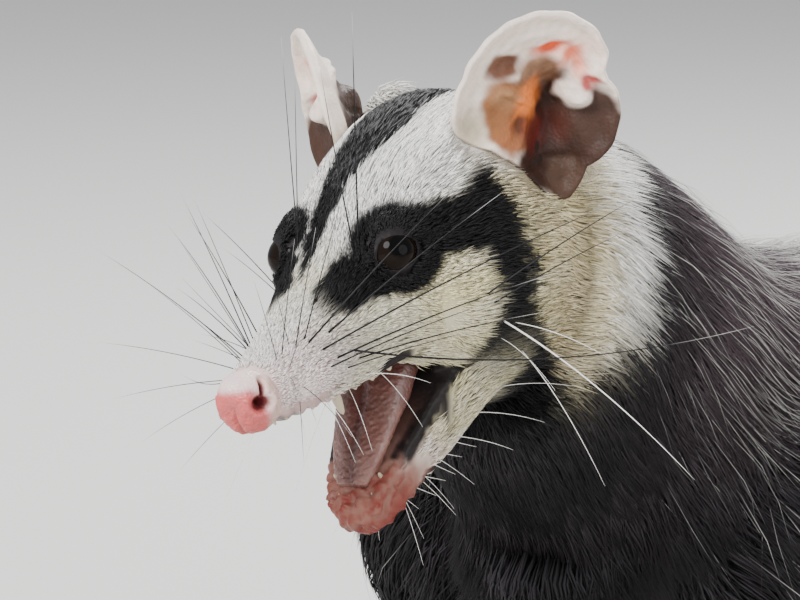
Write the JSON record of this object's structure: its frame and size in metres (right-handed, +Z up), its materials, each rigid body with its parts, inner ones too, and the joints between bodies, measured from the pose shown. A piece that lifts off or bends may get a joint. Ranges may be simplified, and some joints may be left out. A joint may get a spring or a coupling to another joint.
{
  "type": "white-eared opossum",
  "caption": "Life-size still white-eared opossum, standing with its head low and mouth open: striped pale face, pale ruff, dark long-haired body and a bare tail laid on the floor.",
  "frame": {"origin": "on the floor, under the middle of the animal's box", "axes": "+Z up; the animal faces -X, its left side is -Y and its tail runs towards +X"},
  "size_m": [0.6842, 0.1432, 0.2037],
  "materials": {
    "eye": "wet and glossy",
    "face_fur": "short pale fur with a black mask and stripe",
    "pink_skin": "moist bare skin",
    "ear_skin": "thin bare skin, dark at the root",
    "pale_fur": "long cream and white hair",
    "dark_fur": "dark underfur with long white guard hairs",
    "foot_skin": "dark bare skin and horn claws",
    "tail_skin": "scaly bare skin, dark first and pale to the tip"
  },
  "bodies": {
    "root": {"eye_left": "eye", "eye_right": "eye", "head": "face_fur", "nose": "pink_skin", "tongue": "pink_skin", "lower_jaw": "face_fur", "ear_left": "ear_skin", "ear_right": "ear_skin", "neck": "pale_fur", "torso": "dark_fur", "foreleg_left": "dark_fur", "foreleg_right": "dark_fur", "forefoot_left": "foot_skin", "forefoot_right": "foot_skin", "hindleg_left": "dark_fur", "hindleg_right": "dark_fur", "hindfoot_left": "foot_skin", "hindfoot_right": "foot_skin", "tail_root": "dark_fur", "tail_middle": "tail_skin", "tail_end": "tail_skin"}
  },
  "joints": []
}
